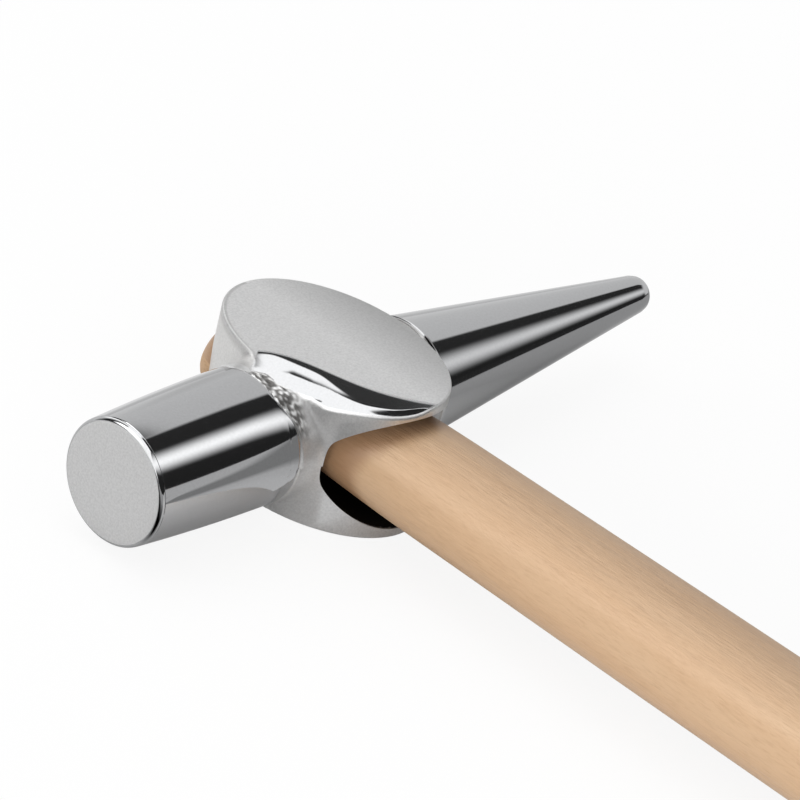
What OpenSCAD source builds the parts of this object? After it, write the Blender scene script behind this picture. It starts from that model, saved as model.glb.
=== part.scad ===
// Inspection hammer: a forged steel head with a round poll and a long conical pein, on a wooden handle.
// X runs along the head towards the pein, the handle runs towards -Y, and Z is square to the flat cheeks.
// The origin is the centre of the lower cheek, the flat that the head lies on.

/* [Poll] */
// From the middle of the eye to the striking face
poll_reach = 44.75; // [36:0.25:60]
// Across the flat end of the poll
face_d = 19.7; // [16:0.1:21]
// Across the poll where it meets the eye body
poll_base_d = 21.6; // [18:0.1:22]
// Round along the edge of the striking face
face_edge_r = 1.0; // [0.4:0.1:3]
// How far the side of the poll bows out between its ends
poll_bow = 0.25; // [0.05:0.05:0.6]
// From the middle of the eye to the end of the turned poll
poll_seat = 16.0; // [15.5:0.1:20]

/* [Pein] */
// From the middle of the eye to the tip of the pein
pein_reach = 73.75; // [55:0.25:100]
// Across the cone where it meets the eye body
pein_base_d = 19.7; // [16:0.1:21]
// Across the cone at its blunt tip
pein_tip_d = 5.5; // [4:0.1:8]
// Round along the edge of the tip
tip_edge_r = 2.0; // [0.5:0.1:2.1]
// From the middle of the eye to the start of the turned cone
pein_seat = 16.6; // [15.5:0.1:20]

/* [Eye body] */
// Length of the oval body along the handle
body_long = 39.9; // [34:0.1:46]
// Width of the oval body along the head
body_wide = 28.7; // [27.4:0.1:30]
// Across the two flat cheeks
body_thick = 22.4; // [22.3:0.1:26]
// Round along the edge of the cheeks
rim_r = 0.6; // [0.2:0.1:1]
// How far the necks stand out round the turned ends
neck_step = 0.3; // [0.1:0.05:0.6]
// Hollow that carries each neck into the oval body
neck_r = 6.0; // [3:0.25:6.5]
// Where on the oval, from the head's axis, that hollow starts
neck_angle = 44; // [40:1:50]

/* [Buffed shoulder] */
// How far from the middle of the eye the flat of the upper cheek ends
shoulder_from = 9.1; // [7:0.1:12]
// Which way the shoulder faces, from the poll towards the handle
shoulder_turn = 30.8; // [20:0.2:45]
// Slope at which the shoulder starts
shoulder_slope = 5; // [3:0.5:10]
// Radius of the shoulder's fall
shoulder_r = 18; // [12:0.5:30]

/* [Eye] */
// Width of the eye's waist along the head
eye_wide = 18.0; // [16.6:0.1:18.4]
// Height of the eye's waist between the cheeks, which also sets how flat the whole handle is
eye_high = 14.0; // [12.8:0.1:15]
// Width of the mouth that the handle comes out of
mouth_wide = 24.4; // [23.6:0.1:25]
// Width of that mouth at its inner end, where the wall closes in
mouth_inner_wide = 23.6; // [20:0.1:24.2]
// Depth of that mouth from the end of the oval body to its inner end
mouth_deep = 9.0; // [6:0.25:12]
// Width of the far mouth, spread for the wedges
far_mouth_wide = 18.5; // [18.1:0.1:21]
// From the middle of the eye to its waist, towards the handle
waist_shift = 2.0; // [0:0.5:6]

/* [Handle] */
// Overall length of the handle
handle_len = 300; // [220:1:420]
// Width of the handle where it comes out of the mouth
shaft_wide = 19.4; // [18.2:0.1:21]
// Width of the parallel grip
grip_wide = 21.6; // [19:0.1:28]
// Length of the parallel grip, up to the butt
grip_len = 90; // [20:1:150]
// Round of the butt
butt_r = 6.0; // [2:0.1:8]
// Round of the end that shows past the far mouth
end_r = 4.0; // [1:0.1:4.6]
// How far that end stands past the oval body
end_proud = 0; // [0:0.1:3]
// Gap all round between the wood and the wall of the eye
eye_clear = 0.05; // [0.02:0.01:0.2]

/* [Wedges] */
// Depth of the saw kerf for the wooden wedge
kerf_deep = 27; // [15:0.5:32]
// Thickness of the wooden wedge at its sawn end
wood_wedge_thick = 3.0; // [2:0.1:4.5]
// Thickness of the wooden wedge at its thin end
wood_wedge_thin = 0.8; // [0.4:0.1:1.5]
// Length of the steel wedge
steel_wedge_len = 16; // [10:0.5:20]
// Width of the steel wedge, across the wooden one
steel_wedge_wide = 9.5; // [6:0.1:10.2]
// Thickness of the steel wedge at its struck end
steel_wedge_thick = 2.4; // [1.6:0.1:3.5]
// Thickness of the steel wedge at its thin end
steel_wedge_thin = 0.6; // [0.3:0.1:1.2]
// Number of barbs on each side of the steel wedge
barb_count = 3; // [1:1:6]
// How far each barb stands out
barb_step = 0.2; // [0.1:0.05:0.4]
// How deep the steel wedge is driven below the end of the wood
steel_wedge_sunk = 0.4; // [0.3:0.1:1.5]

/* [Hidden] */
$fn = 96;
// Side faces of the turned surfaces
fine = 144;
// Side faces of the whole circles that the poll's bow and the shoulder are small arcs of
bow_fine = 2400;
shoulder_fine = 360;
// Overshoot of cutting shapes
over = 1;

axis_z = body_thick / 2;
body_a = body_wide / 2;
body_b = body_long / 2;
flatness = eye_high / eye_wide;
far_y = body_b + end_proud;
butt_y = far_y - handle_len;
steel_top_y = far_y - steel_wedge_sunk;

// Half width of the eye at a place between its waist and its far mouth
function far_wall(y) = eye_wide / 2 + (far_mouth_wide - eye_wide) / 2 * (y + waist_shift) / (body_b + waist_shift);

// Turns a profile of [radius, distance from the middle of the eye] about the head's axis
module turned_along_x(side) {
    translate([0, 0, axis_z])
        rotate([0, 90 * side, 0])
            rotate_extrude($fn = fine)
                children();
}

// Turns a profile of [radius, distance along +Y] about the handle's axis, flattened to the eye's oval.
// It is made as two half turns that meet in the plane square to the head's axis.
module oval_along_y() {
    translate([0, 0, axis_z])
        for (side = [0, 1])
            mirror([side, 0, 0])
                scale([1, 1, flatness])
                    rotate([-90, 0, 0])
                        rotate(-90)
                            rotate_extrude(angle = 180, $fn = fine)
                                children();
}

// What a round of radius r takes off the corner of a profile that ends at [radius, distance],
// where the profile's side leans in by lean degrees on its way to the corner
module corner_cut(radius, distance, r, lean) {
    centre = [radius - r * (1 - sin(lean)) / cos(lean), distance - r];
    reach = r + over;
    difference() {
        polygon([
            centre,
            centre + reach * [cos(lean), sin(lean)],
            centre + reach * [cos(lean), 1 + sin(lean)],
            centre + reach * [0, 1]
        ]);
        translate(centre)
            circle(r);
    }
}

module poll() {
    side_len = poll_reach - poll_seat;
    side_lean = atan2((poll_base_d - face_d) / 2, side_len);
    bow_r = (side_len * side_len / 4 + poll_bow * poll_bow) / (2 * poll_bow);
    turned_along_x(-1)
        difference() {
            intersection() {
                square([poll_base_d, poll_reach]);
                translate([poll_base_d / 2, poll_seat])
                    rotate(side_lean)
                        translate([poll_bow - bow_r, side_len / 2])
                            circle(bow_r, $fn = bow_fine);
            }
            corner_cut(face_d / 2, poll_reach, face_edge_r, side_lean + asin(side_len / 2 / bow_r));
        }
}

module pein() {
    lean = atan2((pein_base_d - pein_tip_d) / 2, pein_reach - pein_seat);
    turned_along_x(1)
        difference() {
            polygon([
                [0, 0],
                [pein_base_d / 2, 0],
                [pein_base_d / 2, pein_seat],
                [pein_tip_d / 2, pein_reach],
                [0, pein_reach]
            ]);
            corner_cut(pein_tip_d / 2, pein_reach, tip_edge_r, lean);
        }
}

// The hollow-sided neck between the oval body and a turned end
module neck(side, end_d, seat) {
    ring_r = end_d / 2 + neck_step;
    start_x = body_a * cos(neck_angle);
    start_r = body_b * sin(neck_angle);
    rise = ring_r + neck_r - start_r;
    hollow_x = start_x + sqrt(neck_r * neck_r - rise * rise);
    turned_along_x(side)
        difference() {
            translate([0, start_x])
                square([start_r, max(seat, hollow_x) - start_x]);
            translate([ring_r + neck_r, hollow_x])
                circle(neck_r);
            translate([ring_r, hollow_x])
                square([neck_r, seat]);
        }
}

// The oval puck between the cheeks, with its edges eased
module oval_body() {
    scale([body_wide / body_long, 1, 1])
        rotate_extrude($fn = fine)
            difference() {
                square([body_b, body_thick]);
                corner_cut(body_b, body_thick, rim_r, 0);
                translate([0, body_thick])
                    mirror([0, 1])
                        corner_cut(body_b, body_thick, rim_r, 0);
            }
}

// What buffing took off the upper cheek between the poll and the handle
module shoulder_cut() {
    away = shoulder_from - shoulder_r * sin(shoulder_slope);
    down = body_thick - shoulder_r * cos(shoulder_slope);
    rotate(180 + shoulder_turn)
        rotate([90, 0, 0])
            linear_extrude(height = 2 * body_long, center = true)
                difference() {
                    translate([shoulder_from, axis_z])
                        square([shoulder_r, axis_z + over]);
                    translate([away, down])
                        circle(shoulder_r, $fn = shoulder_fine);
                }
}

module eye_body() {
    difference() {
        union() {
            oval_body();
            intersection() {
                union() {
                    neck(-1, poll_base_d, poll_seat);
                    neck(1, pein_base_d, pein_seat);
                }
                translate([-body_long, -body_long, 0])
                    cube([2 * body_long, 2 * body_long, body_thick]);
            }
        }
        shoulder_cut();
    }
}

// The eye, narrow at its waist and open at both mouths
module eye_space() {
    reach = body_b + over;
    oval_along_y()
        polygon([
            [0, -reach],
            [mouth_wide / 2, -reach],
            [mouth_wide / 2, -body_b],
            [mouth_inner_wide / 2, mouth_deep - body_b],
            [eye_wide / 2, -waist_shift],
            [far_wall(reach), reach],
            [0, reach]
        ]);
}

module head() {
    color("silver")
        difference() {
            union() {
                eye_body();
                poll();
                pein();
            }
            eye_space();
        }
}

// The whole wooden shape, before its end is sawn and wedged
module handle_blank() {
    end_y = far_y - end_r;
    end_half = far_wall(end_y) - eye_clear;
    oval_along_y()
        difference() {
            polygon([
                [0, butt_y],
                [grip_wide / 2, butt_y],
                [grip_wide / 2, butt_y + grip_len],
                [shaft_wide / 2, -body_b],
                [eye_wide / 2 - eye_clear, -waist_shift],
                [end_half, end_y],
                [end_half, far_y],
                [0, far_y]
            ]);
            corner_cut(end_half, far_y, end_r, 0);
            mirror([0, 1])
                corner_cut(grip_wide / 2, -butt_y, butt_r, 0);
        }
}

// The kerf for the wooden wedge, which lies along the long way of the oval
module kerf_space() {
    lean = (wood_wedge_thick - wood_wedge_thin) / 2 / kerf_deep;
    half_in = wood_wedge_thin / 2;
    half_out = half_in + lean * (kerf_deep + over);
    translate([0, 0, axis_z])
        rotate([90, 0, 90])
            linear_extrude(height = 2 * eye_wide, center = true)
                polygon([
                    [far_y - kerf_deep, -half_in],
                    [far_y + over, -half_out],
                    [far_y + over, half_out],
                    [far_y - kerf_deep, half_in]
                ]);
}

// Outline of one side of the steel wedge, as [half thickness, distance in from its struck end]
function barbed_side(out) = [
    for (i = [0:barb_count - 1])
        for (end = [0, 1])
            let (along = (i + end) / barb_count)
                [
                    out * (steel_wedge_thick / 2 * (1 - along) + steel_wedge_thin / 2 * along
                        - (end == 0 || i == barb_count - 1 ? 0 : barb_step)),
                    -steel_wedge_len * along
                ]
];

module steel_wedge_shape() {
    right = barbed_side(1);
    left = barbed_side(-1);
    last = len(left) - 1;
    translate([0, steel_top_y, axis_z])
        linear_extrude(height = steel_wedge_wide, center = true)
            polygon(concat(right, [for (i = [last:-1:0]) left[i]]));
}

// The slot that the steel wedge makes, open above it to the end of the wood
module steel_wedge_space() {
    steel_wedge_shape();
    translate([-steel_wedge_thick / 2, steel_top_y, axis_z - steel_wedge_wide / 2])
        cube([steel_wedge_thick, steel_wedge_sunk + over, steel_wedge_wide]);
}

module handle() {
    color("burlywood")
        difference() {
            handle_blank();
            kerf_space();
            steel_wedge_space();
        }
}

module wood_wedge() {
    color("tan")
        difference() {
            intersection() {
                handle_blank();
                kerf_space();
            }
            steel_wedge_space();
        }
}

module steel_wedge() {
    color("dimgray")
        steel_wedge_shape();
}

head();
handle();
wood_wedge();
steel_wedge();
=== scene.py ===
import bpy
import numpy as np
from mathutils import Matrix, Vector


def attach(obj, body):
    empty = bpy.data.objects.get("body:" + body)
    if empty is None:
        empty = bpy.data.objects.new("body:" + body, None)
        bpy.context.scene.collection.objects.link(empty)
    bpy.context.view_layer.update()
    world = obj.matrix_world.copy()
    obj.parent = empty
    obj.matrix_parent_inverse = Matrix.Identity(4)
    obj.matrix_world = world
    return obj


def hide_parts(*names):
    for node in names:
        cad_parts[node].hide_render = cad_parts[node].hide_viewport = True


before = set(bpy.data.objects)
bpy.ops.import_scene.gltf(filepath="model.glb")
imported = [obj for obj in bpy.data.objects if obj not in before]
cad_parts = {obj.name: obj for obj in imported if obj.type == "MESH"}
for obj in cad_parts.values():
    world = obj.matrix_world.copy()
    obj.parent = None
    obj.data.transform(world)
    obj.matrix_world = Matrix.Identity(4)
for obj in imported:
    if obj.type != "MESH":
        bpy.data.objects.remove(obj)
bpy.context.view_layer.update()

# The head: one steel forging, turned and polished at the poll and the cone, ground on its two
# cheeks and plated all over. The rim between the poll and the handle was buffed down into a
# soft shoulder, and the eye for the handle goes right through it.

cheek = 11.2
half_width = 14.35
half_length = 19.95
face_x = -44.75
tip_x = 73.75
poll_r = 10.8
cone_r = 9.85
rim_round = 0.42
rays = 320


def rounded_corner(a, b, r):
    """Distance from what lies inside both faces a and b, with their shared edge rounded to r:
    outside the edge it is the length of the two overshoots less r."""
    over_a = np.maximum(a + r, 0)
    over_b = np.maximum(b + r, 0)
    return np.minimum(np.maximum(a, b) + r, 0) + np.hypot(over_a, over_b) - r


def filleted(a, b, r):
    """Distance from either of two solids a and b, with a hollow of radius r where they meet."""
    return -rounded_corner(-a, -b, r)


def smoothed(values, width):
    """Values along a line, each the bell-weighted mean of its neighbours out to three widths."""
    reach = int(np.ceil(3 * width))
    bell = np.exp(-0.5 * (np.arange(-reach, reach + 1) / width) ** 2)
    padded = np.pad(values, [(reach, reach)] + [(0, 0)] * (values.ndim - 1), mode="edge")
    return np.apply_along_axis(np.convolve, 0, padded, bell / bell.sum(), "valid")


def neck_curve(side, base_r):
    """Radius of the turned shape along the head: a hollow of radius 6 from the oval body in to
    a narrow ring and a step down from it. From there on it is the poll, slightly barrelled and
    with a fine line turned in, or the straight cone, after a groove and a bead."""
    hollow = 6.0
    leaving_angle = np.radians(44)
    poll_start = 16.0
    poll_length = 28.75
    cone_start = 16.6
    cone_length = 57.15
    cone_narrowing = 7.1
    ring = base_r + 0.3
    start_x = half_width * np.cos(leaving_angle)
    start_r = half_length * np.sin(leaving_angle)
    rise = ring + hollow - start_r
    hollow_x = start_x + np.sqrt(hollow ** 2 - rise ** 2)
    x = np.arange(0, 80, 0.01)
    drop = np.sqrt(np.maximum(hollow ** 2 - (hollow_x - np.clip(x, start_x, hollow_x)) ** 2, 0))
    r = ring + hollow - drop
    if side < 0:
        along = np.clip((x - poll_start) / poll_length, 0, 1.1)
        poll = base_r - 0.95 * along + 0.25 * (1 - (2 * along - 1) ** 2)
        line = 0.1 * np.exp(-((x - 16.15) / 0.16) ** 2)
        r = np.where(x > poll_start, poll, r) - line
    else:
        cone = base_r - cone_narrowing * (x - cone_start) / cone_length
        bead = 0.34 * np.exp(-((x - 16.85) / 0.17) ** 2)
        groove = 0.45 * np.exp(-((x - 16.2) / 0.26) ** 2)
        r = np.where(x > cone_start, cone, r) + bead - groove
    return x, smoothed(r, 8)


poll_curve = neck_curve(-1, poll_r)
pein_curve = neck_curve(1, cone_r)


def turned_radius(x):
    """Radius of the turned shape at a place along the head, from the two neck curves."""
    return np.where(x < 0, np.interp(-x, *poll_curve), np.interp(x, *pein_curve))


def eased(value, start, end):
    """Goes from 0 at start to 1 at end along the smooth curve 3 t squared less 2 t cubed."""
    t = np.clip((value - start) / (end - start), 0, 1)
    return t * t * (3 - 2 * t)


def past_cheek(x, y):
    """How far a place lies past the slightly S-shaped line where the cheek's flat ends, and
    where it lies along that line, from the poll towards the handle."""
    across_x = -0.859
    across_y = -0.512
    line_distance = 8.7
    bend_places = [-10.8, -1.4, 5.9, 12.2, 16.8]
    bend_sizes = [0, -0.64, 0.93, 0.95, 0]
    along = np.clip(across_x * y - across_y * x, -12, 18)
    bend = np.polyval(np.polyfit(bend_places, bend_sizes, 4), along)
    return np.maximum(across_x * x + across_y * y - line_distance - bend, 0), along


places = np.arange(-14, 20, 0.25)
first_crest = smoothed(np.interp(
    places, [-8, -6, -4, 0, 2, 4, 6, 8, 10, 12, 14, 16],
    [0.8, 1.3, 1.6, 1.7, 2.5, 3.1, 3.4, 4.2, 3.9, 3.5, 2.6, 1.4]), 3)
second_crest = smoothed(np.interp(
    places, [2, 4, 6, 8, 10, 12, 14, 16], [4.05, 4.4, 4.5, 4.4, 4.0, 3.6, 2.7, 1.5]), 3)


def shoulder_drop(x, y):
    """How far the buffed shoulder lies below the cheek: a slope of 14.5 percent that starts
    softly, from a first crest on a steeper pass of the belt that levels out again, and past a
    second crest a steep fall, steeper still towards the handle."""
    slope = 0.145
    soft_start = 0.6
    past, along = past_cheek(x, y)
    first = np.interp(along, places, first_crest)
    second = np.interp(along, places, second_crest)
    width = np.maximum(second - first, 0.01)
    share = np.clip((past - first) / width, 0, 1)
    steeper = np.interp(along, [-1, 3, 7], [0.12, 0.07, 0.0])
    levelling = np.interp(along, [-6.5, -4.5], [0.2, 1.1])
    over = np.maximum(past - second, 0)
    start = np.minimum(past, soft_start)
    even = start ** 2 / (2 * soft_start) + past - start
    hump = steeper * width * (share - levelling * share ** 2 / 2)
    fall = eased(along, -0.5, 3.0)
    return slope * even + hump + (0.13 + 0.15 * fall) * over + 0.05 * fall * over ** 2


wave_count = 16
full_turn = 6.28
mark_waves = np.random.default_rng(5).normal(size=(wave_count, 2)) * (1.0, 0.45)
mark_phases = np.random.default_rng(6).uniform(0, full_turn, wave_count)


def neck_shift(x, y, z):
    """How much nearer to the face the poll's turned surface ends, as far as 2 mm round its top
    and its upper front, where the neck was ground by hand."""
    most = 2.0
    around = np.arctan2(z, y)
    return most * eased(around, 0.6, 1.2) * eased(around, 2.65, 1.95) * eased(x, -30, -20) * (x < 0)


def polish_end(along):
    """How far past the cheek's end the buffed band reaches, for a place along its line."""
    return np.interp(along, [-10, -7.3, -5.6, -3.0, -0.3, 2.3, 4], [4.8, 5.1, 6.6, 6.9, 6.6, 6.8, 9.0])


def marked_patch(x, y, z):
    """Where the rough grinding marks lie: a band 2 to 4 mm wide from the end of the poll's
    turned surface, round its upper front quarter, and not up on the buffed shoulder."""
    around = np.arctan2(z, y)
    past, along = past_cheek(x, y)
    turned = x + neck_shift(x, y, z)
    band = eased(turned, -16.2, -15.9) * eased(x, -13.4, -14.8) * eased(np.hypot(y, z), 12.4, 11.4)
    below = np.maximum(eased(past, polish_end(along), polish_end(along) + 0.3), eased(z, 9.2, 8.8))
    return band * below * eased(around, 1.3, 1.5) * eased(around, 2.85, 2.45)


def mark_height(x, y, z):
    """A sum of sixteen sine waves in the plane of distance along and around the head. Their
    crests are mostly a millimetre or more apart along it, and 2 mm or more around it."""
    middle_r = 11
    around = np.arctan2(z, y) * middle_r
    waves = 0
    for (a, b), phase in zip(mark_waves, mark_phases):
        waves = waves + np.sin(full_turn * (a * x + b * around) + phase)
    return waves


def head_distance(x, y, z):
    """Distance from the head's skin, below zero in the metal: the oval wall and the turned
    necks, joined with a small fillet and cut off by the cheeks, and the round bar of the poll
    and the cone through them. The height of the grinding marks is added to the metal."""
    neck_fillet = 0.5
    bar_fillet = 0.3
    bar_end = -15.9
    mark_depth = 0.013
    level = np.hypot(x / half_width, y / half_length)
    slope = np.hypot(x / half_width ** 2, y / half_length ** 2)
    wall = level * (level - 1) / np.maximum(slope, 1e-6)
    from_axis = np.hypot(y, z)
    around = np.arctan2(z, y)
    deeper = 0.4 * eased(around, 1.2, 1.6) * eased(around, 2.9, 2.3)
    ground = (0.3 + deeper) * eased(around, 3.1, 2.6) * (x < 0)
    turned = x + neck_shift(x, y, z)
    sides = filleted(wall, from_axis - turned_radius(turned) + ground, neck_fillet)
    faces = np.maximum(z - cheek + shoulder_drop(x, y), -z - cheek)
    bar = from_axis - np.minimum(turned_radius(turned), np.where(x < 0, poll_r, cone_r))
    bar = np.where(x < 0, np.maximum(bar, turned - bar_end), bar)
    marks = mark_depth * marked_patch(x, y, z) * mark_height(x, y, z)
    return filleted(rounded_corner(sides, faces, rim_round), bar, bar_fillet) - marks


def ray_lengths(x, angle):
    """Where rays square to the head's axis leave the metal, found by halving the stretch
    between a point inside and a point outside until it is under a thousandth of a millimetre."""
    well_inside = 0.5
    well_outside = 27.0
    halvings = 16
    low = np.full(angle.shape, well_inside)
    high = np.full(angle.shape, well_outside)
    for _ in range(halvings):
        middle = (low + high) / 2
        outside = head_distance(x, middle * np.cos(angle), middle * np.sin(angle)) > 0
        low = np.where(outside, low, middle)
        high = np.where(outside, middle, high)
    return (low + high) / 2


def ray_angles(x):
    """Angles of the rays at each place along the head. Each section is traced every half
    degree, the rays are set closer together where its outline is long or turns, and they are
    evened out from one section to the next."""
    half_degrees = 720
    even = np.linspace(0, 2 * np.pi, half_degrees + 1)
    r = ray_lengths(x[:, None], np.tile(even, (len(x), 1)))
    place = r * np.exp(1j * even)
    step = np.diff(place, axis=1)
    turn = np.abs(np.angle(step / np.roll(step, 1, axis=1)))
    share = np.abs(step) / np.abs(step).sum(1, keepdims=True) + turn / turn.sum(1, keepdims=True)
    share = smoothed(share.T, 1.5).T
    total = np.concatenate([np.zeros((len(x), 1)), np.cumsum(share, axis=1)], axis=1)
    total /= total[:, -1:]
    wanted = np.arange(rays) / rays
    return smoothed(np.stack([np.interp(wanted, line, even) for line in total]), 3)


def grid_mesh(name, points, first, last):
    """A closed mesh from rings of points: neighbours on two rings make the quads, and a fan of
    triangles closes each end on its own middle point. Sizes go in as millimetres. The faces
    point outwards when their normals times their middles, all added up, are above zero."""
    metres = 0.001
    rings, around, _ = points.shape
    corners = np.concatenate([points.reshape(-1, 3), [first], [last]]) * metres
    ring = np.arange(rings - 1)[:, None] * around
    here = np.arange(around)[None, :]
    there = (here + 1) % around
    quads = np.stack([ring + here, ring + there, ring + around + there, ring + around + here], -1)
    start = rings * around
    side = np.arange(around)
    onward = (side + 1) % around
    fan_a = np.stack([np.full(around, start), onward, side], -1)
    end = start - around
    fan_b = np.stack([np.full(around, start + 1), end + side, end + onward], -1)
    mesh = bpy.data.meshes.new(name)
    mesh.from_pydata(corners, [], quads.reshape(-1, 4).tolist() + fan_a.tolist() + fan_b.tolist())
    mesh.update()
    piece = bpy.data.objects.new(name, mesh)
    bpy.context.scene.collection.objects.link(piece)
    normals = np.zeros(len(mesh.polygons) * 3)
    middles = np.zeros(len(mesh.polygons) * 3)
    mesh.polygons.foreach_get("normal", normals)
    mesh.polygons.foreach_get("center", middles)
    if normals @ middles < 0:
        mesh.flip_normals()
    return piece


def cut_away(piece, tool, operation="DIFFERENCE"):
    """Takes the tool's shape out of the piece, or keeps only what both share, and throws the
    tool away."""
    cut = piece.modifiers.new("cut", "BOOLEAN")
    cut.operation = operation
    cut.solver = "EXACT"
    cut.object = tool
    depsgraph = bpy.context.evaluated_depsgraph_get()
    shape = bpy.data.meshes.new_from_object(piece.evaluated_get(depsgraph))
    piece.modifiers.clear()
    piece.data = shape
    bpy.data.objects.remove(tool)


def shade(piece, crease):
    """Smooth shading with every edge sharper than the crease angle, in degrees, kept crisp."""
    piece.data.shade_smooth()
    piece.data.set_sharp_from_angle(angle=np.radians(crease))


corner_round = 0.8
corner_x = -43.824
joined_x = -43.874
joined_rise = 0.7984
corner_r = turned_radius(np.array(joined_x)) - joined_rise
corner_arc = np.radians(np.linspace(1.5, 86.4, 14))
poll_round = np.stack([
    corner_x - corner_round * np.cos(corner_arc), corner_r + corner_round * np.sin(corner_arc)], -1)
crown = 0.12
crown_r = 8.9
face_r = np.array([1.5, 4.0, 6.5, 8.6])
face = np.stack([face_x + crown * (face_r / crown_r) ** 2, face_r], -1)
tip_round = 2.0
tip_centre_r = 0.983
tip_arc = np.radians(np.linspace(7.1, 88, 14))
tip = np.stack([
    tip_x - tip_round + tip_round * np.sin(tip_arc), tip_centre_r + tip_round * np.cos(tip_arc)], -1)
body_steps = [[-19.08], np.full(36, 0.14), np.full(110, 0.255), np.full(30, 0.13)]
body_x = np.cumsum(np.concatenate(body_steps))
poll_x = np.concatenate([np.linspace(-43.75, -41.4, 10), np.linspace(-40.8, -19.5, 24)])
pein_x = np.linspace(body_x[-1] + 0.5, 71.6, 44)
side_x = np.concatenate([poll_x, body_x, pein_x])
side_angle = ray_angles(side_x)
side_r = ray_lengths(side_x[:, None], side_angle)
even_angle = 2 * np.pi * np.arange(rays) / rays
face_angle = np.tile(even_angle, (len(face) + len(poll_round), 1))
tip_angle = np.tile(even_angle, (len(tip), 1))
all_x = np.concatenate([face[:, 0], poll_round[:, 0], side_x, tip[:, 0]])
all_angle = np.concatenate([face_angle, side_angle, tip_angle])
all_r = np.concatenate([
    np.tile(np.concatenate([face, poll_round])[:, 1:], (1, rays)),
    side_r,
    np.tile(tip[:, 1:], (1, rays)),
])
skin = np.stack([
    np.tile(all_x[:, None], (1, rays)),
    all_r * np.cos(all_angle),
    all_r * np.sin(all_angle) + cheek,
], -1)
head = grid_mesh("head", skin, (face_x, 0, cheek), (tip_x, 0, cheek))


def oval_rings(y, half_x, half_z, fullness):
    """Rings along the handle, each an oval whose sides are a little fuller than an ellipse:
    the sine and cosine of the angle, raised to 2 over the fullness."""
    corners = 160
    t = 2 * np.pi * np.arange(corners) / corners
    power = 2 / fullness[:, None]
    c = np.sign(np.cos(t)) * np.abs(np.cos(t)) ** power
    s = np.sign(np.sin(t)) * np.abs(np.sin(t)) ** power
    z = half_z[:, None] * s + cheek
    return np.stack([half_x[:, None] * c, np.tile(y[:, None], (1, corners)), z], -1)


def handle_mesh(name, points, first_y, last_y):
    """A closed mesh from rings along the handle, with both end points on the handle's axis."""
    return grid_mesh(name, points, (0, first_y, cheek), (0, last_y, cheek))


flatness = 0.7778
eye_reach = 23
eye_y = np.linspace(-eye_reach, eye_reach, 93)
eye_half = smoothed(np.interp(eye_y, [-half_length, -10.9, -2, 20], [12.5, 12.2, 9.0, 9.25]), 1.5)
eye_full = np.interp(eye_y, [-20, -3], [2.3, 2.0])
eye_points = oval_rings(eye_y, eye_half, eye_half * flatness, eye_full)
cut_away(head, handle_mesh("eye", eye_points, -eye_reach, eye_reach))
shade(head, 40)


def add(tree, kind, values=None, **settings):
    """Adds a node to a tree, with its settings and with values or links for its inputs."""
    made = tree.nodes.new(kind)
    for name, value in settings.items():
        setattr(made, name, value)
    for name, value in (values or {}).items():
        if isinstance(value, bpy.types.NodeSocket):
            tree.links.new(value, made.inputs[name])
        else:
            made.inputs[name].default_value = value
    return made


def worked(tree, operation, *inputs):
    """Adds a node that works out one number from its inputs, and returns that number."""
    return add(tree, "ShaderNodeMath", dict(enumerate(inputs)), operation=operation).outputs[0]


def ranged(tree, value, start, end, low=0.0, high=1.0, curve="LINEAR"):
    """Adds a node that goes from low to high while a value goes from start to end."""
    values = {"Value": value, "From Min": start, "From Max": end, "To Min": low, "To Max": high}
    return add(tree, "ShaderNodeMapRange", values, interpolation_type=curve).outputs[0]


def blend(tree, factor, first, second, how="MIX"):
    """Adds a node that mixes two colours, its inputs 6 and 7, and returns its third output,
    which is the mixed colour."""
    values = {"Factor": factor, 6: first, 7: second}
    return add(tree, "ShaderNodeMix", values, data_type="RGBA", blend_type=how).outputs[2]


def split(tree, value):
    """Adds a node that splits a place or a direction, and returns its x, y and z."""
    parts = add(tree, "ShaderNodeSeparateXYZ", {0: value})
    return [parts.outputs[axis] for axis in "XYZ"]


def bare_material(name):
    """A material with an empty node tree, and that tree."""
    made = bpy.data.materials.new(name)
    made.use_nodes = True
    made.node_tree.nodes.clear()
    return made, made.node_tree


def new_material(name):
    """A node material with only its Principled shader, joined to the output."""
    made, tree = bare_material(name)
    shader = tree.nodes.new("ShaderNodeBsdfPrincipled")
    output = tree.nodes.new("ShaderNodeOutputMaterial")
    tree.links.new(shader.outputs[0], output.inputs[0])
    return made, tree, shader


def new_group(name, outputs):
    """An empty node group that takes a place on a piece and gives out the named values."""
    group = bpy.data.node_groups.new(name, "ShaderNodeTree")
    group.interface.new_socket("Place", in_out="INPUT", socket_type="NodeSocketVector")
    for output in outputs:
        group.interface.new_socket(output, in_out="OUTPUT", socket_type="NodeSocketFloat")
    return group, group.nodes.new("NodeGroupInput"), group.nodes.new("NodeGroupOutput")


metal_grain, group_in, group_out = new_group("metal grain", ["Grain"])
speckle = add(metal_grain, "ShaderNodeTexNoise", {
    "Vector": group_in.outputs[0], "Scale": 2800.0, "Detail": 2.0, "Roughness": 0.6})
spread = ranged(metal_grain, speckle.outputs["Fac"], 0.3, 0.7)
metal_grain.links.new(spread, group_out.inputs["Grain"])

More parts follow.
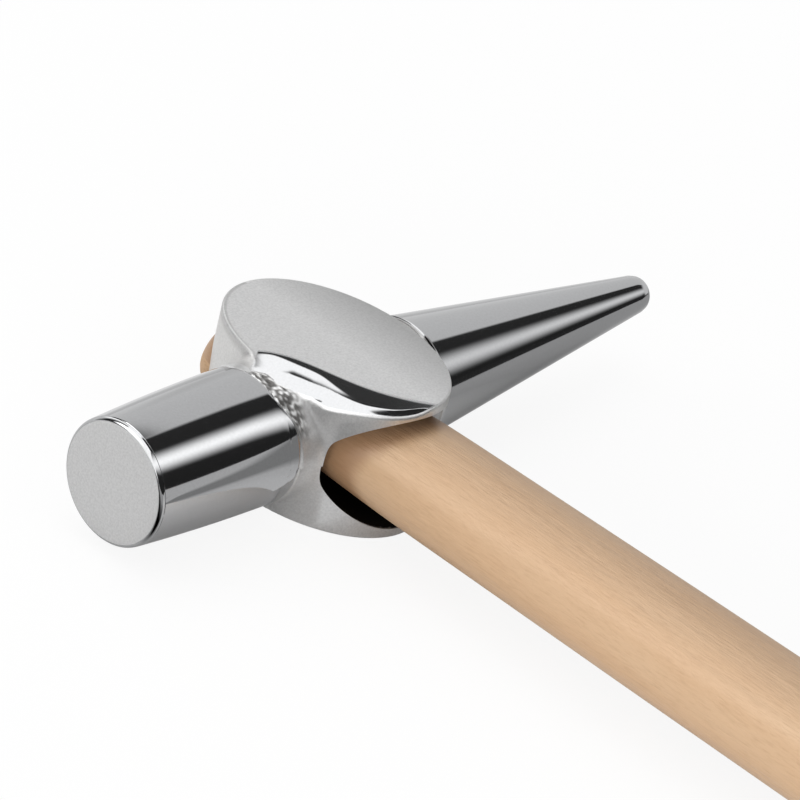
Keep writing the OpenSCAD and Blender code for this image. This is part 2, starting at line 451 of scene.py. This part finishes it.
plating, tree, shader = new_material("plated steel")
shader.inputs["Metallic"].default_value = 1.0
polish, wall, shaded_bore, marks = [
    add(tree, "ShaderNodeAttribute", attribute_name=name).outputs["Fac"]
    for name in ("polish", "wall", "shaded_bore", "marks")]
place = add(tree, "ShaderNodeTexCoord").outputs["Object"]
grain = add(tree, "ShaderNodeGroup", {"Place": place}, node_tree=metal_grain)
rough = ranged(tree, polish, 0.0, 1.0, 0.43, 0.07)
tree.links.new(worked(tree, "MULTIPLY_ADD", shaded_bore, 0.4, rough), shader.inputs["Roughness"])
along_head, _, _ = split(tree, place)
# The cheek's grey is painted light towards the poll and painted shade towards the cone, going from 0.91 to
# 0.59 between 1 and 13 mm along the head.
painted_shade_along = ranged(tree, along_head, 0.001, 0.013)
shaded_cheek_tone = blend(tree, painted_shade_along, (0.91, 0.91, 0.91, 1), (0.59, 0.59, 0.59, 1))
ground = blend(tree, wall, shaded_cheek_tone, (0.79, 0.785, 0.775, 1))
bright = blend(tree, polish, ground, (0.62, 0.625, 0.635, 1))
grain_share = ranged(tree, polish, 0.0, 1.0, 0.2, 0.08)
grained = worked(tree, "MULTIPLY", grain.outputs["Grain"], grain_share)
speckled = blend(tree, grained, bright, (0.25, 0.25, 0.25, 1))
# Dark where the marks mask is: the grinding marks, and painted shade in the cone's groove, beside it, on
# part of the rim and on the face.
marked_and_shaded = blend(tree, marks, speckled, (0.10, 0.095, 0.09, 1))
# The eye's bore is near black: painted shade inside the eye.
tint = blend(tree, shaded_bore, marked_and_shaded, (0.02, 0.018, 0.016, 1))
tree.links.new(tint, shader.inputs["Base Color"])

corner = np.zeros(len(head.data.vertices) * 3)
head.data.vertices.foreach_get("co", corner)
corner = corner.reshape(-1, 3) * 1000
cx, cy, cz = corner[:, 0], corner[:, 1], corner[:, 2] - cheek
depth = head_distance(cx, cy, cz)
from_wall = (np.hypot(cx / half_width, cy / half_length) - 1) * half_width
turned_x = cx + neck_shift(cx, cy, cz)
past, along = past_cheek(cx, cy)
on_shoulder = eased(past, 0, 0.4) * eased(past, polish_end(along) + 0.1, polish_end(along) - 0.1)
on_shoulder = on_shoulder * eased(cz, 7.0, 8.5) * np.where(along < 0.5, 1, eased(from_wall, -0.1, -0.4))
on_shoulder = on_shoulder * eased(along, -10.4, -10.0)
on_poll = eased(turned_x, -16.0, -16.4) * eased(cx, -44.61, -44.57)
on_ends = np.where(cx < 0, on_poll, eased(cx, 16.4, 16.6))
inside = eased(depth, -0.02, -0.3) * (np.abs(cx) < 14)
on_wall = eased(np.abs(cz), cheek - 0.1, cheek - 0.8) * (np.abs(cx) < 16.3)
round_head = np.arctan2(cz, cy)
# Painted shade in the groove where the cone starts, on its top.
groove_painted_shade = np.exp(-((cx - 16.2) / 0.3) ** 2)
groove_painted_shade = groove_painted_shade * eased(round_head, 0.6, 1.0) * eased(round_head, 2.0, 1.7)
# Painted dark reflection on a small patch just past the cone's groove, on its upper front.
facet_painted_shade = eased(cx, 15.3, 15.6) * eased(cx, 17.6, 17.2)
facet_painted_shade = facet_painted_shade * eased(round_head, 1.85, 1.95) * eased(round_head, 2.2, 2.1)
# The grinding marks are coloured darkest in their troughs: partly the rough ground steel, partly painted
# shade of the hollow behind the poll.
marks_and_trough_shade = 0.9 * marked_patch(cx, cy, cz) * eased(mark_height(cx, cy, cz), 3.5, -1.0)
# Painted shade that dims the top rim on the poll's half, away from the handle.
rim_painted_shade = eased(from_wall, -0.7, -0.4) * eased(cz, cheek - 1.6, cheek - 0.9)
rim_painted_shade = rim_painted_shade * eased(cy, 1.5, 3.5) * (cx < 0)
# Painted shade that darkens the poll's face a little.
face_painted_shade = eased(cx, -44.5, -44.6)
# The marks mask holds the grinding marks and painted shade: in the cone's groove, on a patch beside it, on
# part of the rim and a little on the face.
masks = {
    "polish": np.maximum(on_ends, on_shoulder) * (1 - inside),
    "shaded_bore": inside,
    # Towards the front the wall's own grey gives way to the cheek's tone and its painted light and shade:
    # painted light on the front wall.
    "wall": on_wall * (1 - 0.8 * eased(cy, 2, -6)),
    "marks": np.maximum.reduce([
        marks_and_trough_shade, 0.25 * rim_painted_shade, 0.8 * groove_painted_shade, 0.8 * facet_painted_shade, 0.08 * face_painted_shade]),
}
for name, values in masks.items():
    made = head.data.attributes.new(name, "FLOAT", "POINT")
    made.data.foreach_set("value", values.astype(np.float32))
head.data.materials.clear()
head.data.materials.append(plating)
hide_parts("head")
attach(head, "root")

# The handle: one length of straight-grained beech, shaped oval, lacquered, and driven into the
# eye from below. Its end is sawn for the wedges and dressed flush with the far mouth.

butt_y = -280.05
butt_start = -274.05
butt_round = 6
end_start = 14.95
end_round = 5


def rounded_off(over, r):
    """How far a rounded end falls in from its side: the radius less the height of a circle of
    that radius at a distance past the start of the round."""
    return r - np.sqrt(np.maximum(r ** 2 - over ** 2, 0))


handle_y = np.concatenate([
    butt_y + butt_round * (1 - np.cos(np.radians(np.linspace(12, 84, 8)))),
    np.linspace(-273.5, -25, 70),
    np.linspace(-24, 14.5, 60),
    end_start + end_round * np.sin(np.radians(np.linspace(4, 84, 14))),
])
taper_y = np.arange(-290, 30, 0.5)
taper = smoothed(np.interp(
    taper_y, [-190, -half_length, -2, 16, 22], [10.8, 9.7, 8.95, 9.1, 9.15]), 8)
handle_half = np.interp(handle_y, taper_y, taper)
handle_half = handle_half - rounded_off(np.maximum(butt_start - handle_y, 0), butt_round)
handle_half = handle_half - rounded_off(np.maximum(handle_y - end_start, 0), end_round)
handle_full = np.interp(handle_y, [-70, -22, 5, 18], [2.1, 2.0, 2.0, 1.9])
blank_points = oval_rings(handle_y, handle_half, handle_half * flatness, handle_full)
handle = handle_mesh("handle", blank_points, butt_y, half_length)


def bar_points(y, half_x, half_z):
    """Rings of four corners along the handle, each a rectangle of its own half width and half
    height about the handle's axis."""
    y, half_x, half_z = (np.array(values, float)[:, None] for values in (y, half_x, half_z))
    side_x = np.array([1, -1, -1, 1])
    side_z = np.array([1, 1, -1, -1])
    return np.stack([half_x * side_x, y + 0 * side_x, half_z * side_z + cheek], -1)


kerf_y = -7.05
slot_y = 3.55
struck_y = 19.55
cut_end = 21
kerf_points = bar_points([kerf_y, cut_end], [14, 14], [0.4, 1.543])
slot_points = bar_points([slot_y, struck_y, cut_end], [0.3, 1.2, 1.2], [4.75, 4.75, 4.75])
cut_away(handle, handle_mesh("kerf", kerf_points, kerf_y, cut_end))
cut_away(handle, handle_mesh("slot", slot_points, slot_y, cut_end))
shade(handle, 35)

wood_grain, group_in, group_out = new_group("wood grain", ["Tone", "Fleck", "Height"])
drawn_out = add(wood_grain, "ShaderNodeMapping", {"Vector": group_in.outputs[0], "Scale": (1, 0.12, 1)})
broad = add(wood_grain, "ShaderNodeTexNoise", {
    "Vector": drawn_out.outputs[0], "Scale": 260.0, "Detail": 3.0, "Roughness": 0.5})
fibre_way = add(wood_grain, "ShaderNodeMapping", {"Vector": group_in.outputs[0], "Scale": (1, 0.1, 1)})
fibre = add(wood_grain, "ShaderNodeTexNoise", {
    "Vector": fibre_way.outputs[0], "Scale": 3400.0, "Detail": 3.0, "Roughness": 0.65})
fleck = ranged(wood_grain, fibre.outputs["Fac"], 0.48, 0.75)
uneven = add(wood_grain, "ShaderNodeTexNoise", {
    "Vector": drawn_out.outputs[0], "Scale": 620.0, "Detail": 5.0, "Roughness": 0.68})
wood_grain.links.new(broad.outputs["Fac"], group_out.inputs["Tone"])
wood_grain.links.new(fleck, group_out.inputs["Fleck"])
wood_grain.links.new(uneven.outputs["Fac"], group_out.inputs["Height"])

beech, tree, shader = new_material("lacquered beech")
place = add(tree, "ShaderNodeTexCoord").outputs["Object"]
grain = add(tree, "ShaderNodeGroup", {"Place": place}, node_tree=wood_grain)
tone = blend(tree, grain.outputs["Tone"], (0.525, 0.33, 0.187, 1), (0.58, 0.40, 0.25, 1))
fleck_share = worked(tree, "MULTIPLY", grain.outputs["Fleck"], 0.36)
flecked = blend(tree, fleck_share, tone, (0.36, 0.21, 0.11, 1))
# Darker brown towards the eye's mouth: painted shade where the handle goes into the head.
from_eye = add(tree, "ShaderNodeVectorMath", {
    0: place, 1: (1000 / half_width, 1000 / half_length, 0)}, operation="MULTIPLY")
reach = add(tree, "ShaderNodeVectorMath", {0: from_eye.outputs[0]}, operation="LENGTH")
painted_mouth_shade = ranged(tree, reach.outputs["Value"], 1.12, 0.96, 0.0, 0.55, "SMOOTHSTEP")
shaded_near_mouth = blend(tree, painted_mouth_shade, flecked, (0.20, 0.085, 0.035, 1))
tree.links.new(shaded_near_mouth, shader.inputs["Base Color"])
shader.inputs["Roughness"].default_value = 0.4
shader.inputs["Specular IOR Level"].default_value = 0.7
bump = add(tree, "ShaderNodeBump", {"Height": grain.outputs["Height"], "Distance": 0.0004, "Strength": 0.7})
tree.links.new(bump.outputs[0], shader.inputs["Normal"])
handle.data.materials.clear()
handle.data.materials.append(beech)
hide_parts("handle")
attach(handle, "root")

# The wooden wedge: a thin hardwood taper glued and driven into the kerf, then trimmed to the
# round of the handle's end.

wood_wedge = handle_mesh("wood_wedge", blank_points, butt_y, half_length)
cut_away(wood_wedge, handle_mesh("kerf", kerf_points, kerf_y, cut_end), "INTERSECT")
cut_away(wood_wedge, handle_mesh("slot", slot_points, slot_y, cut_end))
shade(wood_wedge, 35)

hardwood, tree, shader = new_material("bare hardwood")
place = add(tree, "ShaderNodeTexCoord").outputs["Object"]
grain = add(tree, "ShaderNodeGroup", {"Place": place}, node_tree=wood_grain)
tone = blend(tree, grain.outputs["Tone"], (0.53, 0.34, 0.195, 1), (0.59, 0.41, 0.26, 1))
flecked = blend(tree, grain.outputs["Fleck"], tone, (0.42, 0.25, 0.13, 1))
tree.links.new(flecked, shader.inputs["Base Color"])
shader.inputs["Roughness"].default_value = 0.6
wood_wedge.data.materials.clear()
wood_wedge.data.materials.append(hardwood)
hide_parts("wood_wedge")
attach(wood_wedge, "root")

# The steel wedge: a small cold-formed taper with three barbs a side, driven across the wooden
# one until its struck end lies just below the wood.

barb_y = [slot_y, 8.83, 8.93, 14.16, 14.27, 19.35, struck_y]
barb_half_x = [0.3, 0.59, 0.42, 0.88, 0.72, 1.19, 1.0]
barb_half_z = [4.7, 4.75, 4.75, 4.75, 4.75, 4.75, 4.55]
barb_points = bar_points(barb_y, barb_half_x, barb_half_z)
steel_wedge = handle_mesh("steel_wedge", barb_points, slot_y, struck_y)
shade(steel_wedge, 30)

plain_steel, tree, shader = new_material("plain steel")
shader.inputs["Metallic"].default_value = 1.0
shader.inputs["Roughness"].default_value = 0.42
place = add(tree, "ShaderNodeTexCoord").outputs["Object"]
grain = add(tree, "ShaderNodeGroup", {"Place": place}, node_tree=metal_grain)
tone = blend(tree, grain.outputs["Grain"], (0.42, 0.42, 0.43, 1), (0.24, 0.235, 0.23, 1))
tree.links.new(tone, shader.inputs["Base Color"])
steel_wedge.data.materials.append(plain_steel)
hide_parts("steel_wedge")
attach(steel_wedge, "root")

# The studio: a pale floor that the hammer lies on, a soft white tent, and two boards that only
# shiny surfaces show, a grey one along the handle and a dark one lying past the cone's tip.

floor_reach = 4
floor_mesh = bpy.data.meshes.new("floor")
floor_mesh.from_pydata([
    (-floor_reach, -floor_reach, 0), (floor_reach, -floor_reach, 0),
    (floor_reach, floor_reach, 0), (-floor_reach, floor_reach, 0)], [], [(0, 1, 2, 3)])
floor = bpy.data.objects.new("floor", floor_mesh)
bpy.context.scene.collection.objects.link(floor)
floor.location = (0, 0, -0.0002)


def greys(tree, value, stops):
    """Adds a node that turns a value into a grey. Each stop is a value and its grey level."""
    made = add(tree, "ShaderNodeValToRGB", {"Fac": value})
    elements = made.color_ramp.elements
    while len(elements) < len(stops):
        elements.new(0.5)
    for element, (position, level) in zip(elements, stops):
        element.position = position
        element.color = (level, level, level, 1)
    return made.outputs[0]


paper, tree = bare_material("white paper")
seen = add(tree, "ShaderNodeLightPath")
to_camera = seen.outputs["Is Camera Ray"]
to_gloss = seen.outputs["Is Glossy Ray"]
floor_x, floor_y, _ = split(tree, add(tree, "ShaderNodeTexCoord").outputs["Object"])
shade_of = ranged(tree, to_camera, 0.0, 1.0, 0.67, 1.0)
# To shiny surfaces the floor is painted darker under the cone and before the poll's face: painted shadow.
shadow_under_cone = ranged(tree, floor_x, 0.025, 0.055, 0.0, 0.25)
by_face = ranged(tree, floor_x, -0.041, -0.047, 0.0, 0.68)
before_face = ranged(tree, floor_y, -0.006, -0.012)
shadow_before_face = worked(tree, "MULTIPLY", by_face, before_face)
floor_painted_shadow = worked(tree, "MAXIMUM", shadow_under_cone, shadow_before_face)
gloss_painted_shadow = worked(tree, "MULTIPLY", floor_painted_shadow, to_gloss)
matt_shade = worked(tree, "SUBTRACT", shade_of, gloss_painted_shadow)
matt = add(tree, "ShaderNodeBsdfDiffuse", {"Color": matt_shade})
glow = add(tree, "ShaderNodeEmission", {"Color": (1, 1, 1, 1), "Strength": 1.0})
straight = worked(tree, "MULTIPLY", to_camera, 0.88)
# To shiny surfaces the floor also glows, more or less by its place near the head: painted light for the
# metal to reflect.
shown_y = 0.2
across = ranged(tree, floor_y, -shown_y, shown_y)
distances = [(-0.006, 0.0), (0.0, 0.2), (0.02, 0.36), (0.035, 0.64), (0.06, 0.52), (0.15, 0.36)]
shares = greys(tree, across, [((y + shown_y) / (2 * shown_y), level) for y, level in distances])
past_face = ranged(tree, floor_x, -0.045, -0.03)
back_share = worked(tree, "MULTIPLY", shares, past_face)
far_out = ranged(tree, floor_y, -0.02, -0.06, 0.0, 0.4)
near_poll = ranged(tree, floor_x, 0.06, 0.02)
front_share = worked(tree, "MULTIPLY", far_out, near_poll)
both_shares = worked(tree, "MAXIMUM", back_share, front_share)
glow_in_gloss = worked(tree, "MULTIPLY", to_gloss, both_shares)
glow_share = worked(tree, "ADD", straight, glow_in_gloss)
mixed = add(tree, "ShaderNodeMixShader", {0: glow_share, 1: matt.outputs[0], 2: glow.outputs[0]})
add(tree, "ShaderNodeOutputMaterial", {"Surface": mixed.outputs[0]})
floor_mesh.materials.append(paper)

grey_card, tree = bare_material("grey card")
_, card_y, card_z = split(tree, add(tree, "ShaderNodeTexCoord").outputs["Object"])
# The grey board glows lighter near its foot and top with a darker band between: a painted reflection of the
# handle, lit above and shaded below, shown in the poll.
slanted = worked(tree, "MULTIPLY_ADD", card_y, -0.333, card_z)
height = ranged(tree, slanted, 0.01, 0.03)
painted_reflection_tone = greys(tree, height, [
    (0.0, 0.6), (0.235, 0.54), (0.36, 0.26), (0.61, 0.26), (0.735, 0.54), (1.0, 0.54)])
card_glow = add(tree, "ShaderNodeEmission", {"Color": painted_reflection_tone})
add(tree, "ShaderNodeOutputMaterial", {"Surface": card_glow.outputs[0]})
dark_card, tree = bare_material("dark card")
card_glow = add(tree, "ShaderNodeEmission", {"Color": (0.025, 0.025, 0.025, 1)})
add(tree, "ShaderNodeOutputMaterial", {"Surface": card_glow.outputs[0]})
board_x = -0.0125
board_start = -0.013
board_end = -0.30
board_top = 0.0178
boards = [
    ("grey board", grey_card, [
        (board_x, board_start, 0.0), (board_x, board_end, 0.0),
        (board_x, board_end, board_top), (board_x, board_start, board_top)]),
    ("dark board", dark_card, [
        (0.09, -0.075, 0.001), (0.9, -0.075, 0.001), (9.0, -4.2, 0.06), (5.0, -4.2, 0.06)]),
]
for name, material, corners in boards:
    board_mesh = bpy.data.meshes.new(name)
    board_mesh.from_pydata(corners, [], [(0, 1, 2, 3)])
    board_mesh.materials.append(material)
    board = bpy.data.objects.new(name, board_mesh)
    bpy.context.scene.collection.objects.link(board)
    board.visible_camera = False
    board.visible_diffuse = False
    board.visible_shadow = False
    board.visible_transmission = False

world = bpy.data.worlds.new("studio")
bpy.context.scene.world = world
world.use_nodes = True
world.cycles.sampling_method = "NONE"
tree = world.node_tree
tree.nodes.clear()
seen = add(tree, "ShaderNodeLightPath")
way = add(tree, "ShaderNodeTexCoord").outputs["Generated"]
way_x, way_y, way_z = split(tree, way)

# The tent as the metal shows it, all round the head's axis, with one soft strip of light.
turn = worked(tree, "ARCTAN2", way_z, way_y)
around_axis = ranged(tree, turn, -np.pi / 2, np.pi)
turns = [(-90, 1.0), (-20, 1.0), (0, 0.78), (20, 0.7), (84, 0.66), (88, 0.03), (180, 0.02)]
bands = greys(tree, around_axis, [((degrees + 90) / 270, level) for degrees, level in turns])
strip_start = 0.65
strip_end = 0.85
strip_middle = ranged(tree, way_x, strip_start, strip_end, np.radians(131), np.radians(141))
strip_width = ranged(tree, way_x, strip_start, strip_end, 0.36, 0.54)
strip_level = ranged(tree, way_x, strip_start, strip_end, 1.5, 0.85)
off_middle = worked(tree, "SUBTRACT", turn, strip_middle)
off_size = worked(tree, "ABSOLUTE", worked(tree, "DIVIDE", off_middle, strip_width))
strip_shape = ranged(tree, off_size, 1.0, 0.0, curve="SMOOTHSTEP")
strip = worked(tree, "MULTIPLY", strip_shape, strip_level)
striped = blend(tree, 1.0, bands, strip, "ADD")
ahead = ranged(tree, way_x, 0.91, 0.95, curve="SMOOTHSTEP")
open_end = blend(tree, ahead, striped, (0.72, 0.72, 0.72, 1))

# The light and dark panels overhead, which show in the shoulder.
high = ranged(tree, way_z, 0.2, 0.36, curve="SMOOTHSTEP")
edge_side = ranged(tree, way_x, 0.60, 0.57, curve="SMOOTHSTEP")
edge = worked(tree, "MULTIPLY", high, edge_side)
over_head = ranged(tree, way_x, -1.0, 1.0)
near_stops = [(-0.3, 1.5), (0.45, 1.5), (0.49, 0.045)]
far_stops = [
    (-0.2, 0.03), (-0.12, 0.7), (0.1, 0.7), (0.17, 1.8), (0.32, 1.8), (0.4, 0.7), (0.47, 0.045)]
near_panel, far_panel = [
    greys(tree, over_head, [((x + 1) / 2, level) for x, level in stops])
    for stops in (near_stops, far_stops)]
behind = ranged(tree, way_y, 0.47, 0.53, curve="SMOOTHSTEP")
panels = blend(tree, behind, near_panel, far_panel)
further = ranged(tree, way_x, 0.0, 0.1, 0.45, 0.0)
reaching = worked(tree, "ADD", way_y, further)
not_front = ranged(tree, reaching, 0.04, 0.1, curve="SMOOTHSTEP")
panel_share = worked(tree, "MULTIPLY", edge, not_front)
panelled = blend(tree, panel_share, open_end, panels)

# The side towards the poll, and one bright spot high up behind it.
side_tone = blend(tree, behind, (1.5, 1.5, 1.5, 1), (0.03, 0.03, 0.03, 1))
to_side = ranged(tree, way_x, -0.2, -0.35, curve="SMOOTHSTEP")
above = ranged(tree, way_z, 0.0, 0.06, curve="SMOOTHSTEP")
past_corner = ranged(tree, way_y, -0.4, -0.3, curve="SMOOTHSTEP")
side_above = worked(tree, "MULTIPLY", to_side, above)
side_share = worked(tree, "MULTIPLY", side_above, past_corner)
sided = blend(tree, side_share, panelled, side_tone)
beam = add(tree, "ShaderNodeVectorMath", {0: way, 1: (-0.70, 0.45, 0.55)}, operation="DOT_PRODUCT")
hot = ranged(tree, beam.outputs["Value"], 0.9, 0.985, curve="SMOOTHSTEP")
lit = blend(tree, hot, sided, (3.4, 3.4, 3.4, 1))

# Gloss shows the bands, the camera a plain white, and everything else an even soft light.
even_light = add(tree, "ShaderNodeBackground", {"Color": (1, 1, 1, 1), "Strength": 0.62})
white = add(tree, "ShaderNodeBackground", {"Color": (1, 1, 1, 1), "Strength": 1.0})
banded = add(tree, "ShaderNodeBackground", {"Color": lit, "Strength": 1.0})
for_gloss = add(tree, "ShaderNodeMixShader", {
    0: seen.outputs["Is Glossy Ray"], 1: even_light.outputs[0], 2: banded.outputs[0]})
for_camera = add(tree, "ShaderNodeMixShader", {
    0: seen.outputs["Is Camera Ray"], 1: for_gloss.outputs[0], 2: white.outputs[0]})
add(tree, "ShaderNodeOutputWorld", {"Surface": for_camera.outputs[0]})

lit_spot = Vector((0, -0.1, 0))
lamps = [
    ("high lamp", 1.2, 4.5, (0.3, 0.5, 1.3)),
    ("front lamp", 0.9, 20.0, (-1.1, -0.75, 0.05)),
    ("side lamp", 0.9, 5.0, (-0.7, 0.9, 0.25)),
]
for name, size, watts, lamp_spot in lamps:
    lamp_data = bpy.data.lights.new(name, "AREA")
    lamp_data.size = size
    lamp_data.energy = watts
    lamp = bpy.data.objects.new(name, lamp_data)
    bpy.context.scene.collection.objects.link(lamp)
    lamp.location = lamp_spot
    lamp.rotation_euler = (lit_spot - lamp.location).to_track_quat("-Z", "Y").to_euler()
    lamp.visible_glossy = False

# The camera: a long lens about a metre away, above the poll and the handle, rolled a little.

sensor = 36
picture_width = 800
focal_pixels = 6682.7
back = Vector((-0.69777, -0.51649, 0.49635)).normalized()
sideways = Vector((0, 0, 1)).cross(back).normalized()
upward = back.cross(sideways)
roll = np.radians(13.736)
right = sideways * np.cos(roll) + upward * np.sin(roll)
up = upward * np.cos(roll) - sideways * np.sin(roll)
camera_spot = Vector((-0.690318, -0.524815, 0.511378))
lens = bpy.data.cameras.new("camera")
lens.sensor_width = sensor
lens.lens = sensor * focal_pixels / picture_width
lens.clip_end = 20
camera = bpy.data.objects.new("camera", lens)
bpy.context.scene.collection.objects.link(camera)
turned_to = Matrix((right, up, back)).transposed().to_4x4()
camera.matrix_world = Matrix.Translation(camera_spot) @ turned_to
bpy.context.scene.camera = camera

bpy.context.scene.view_settings.view_transform = "Standard"
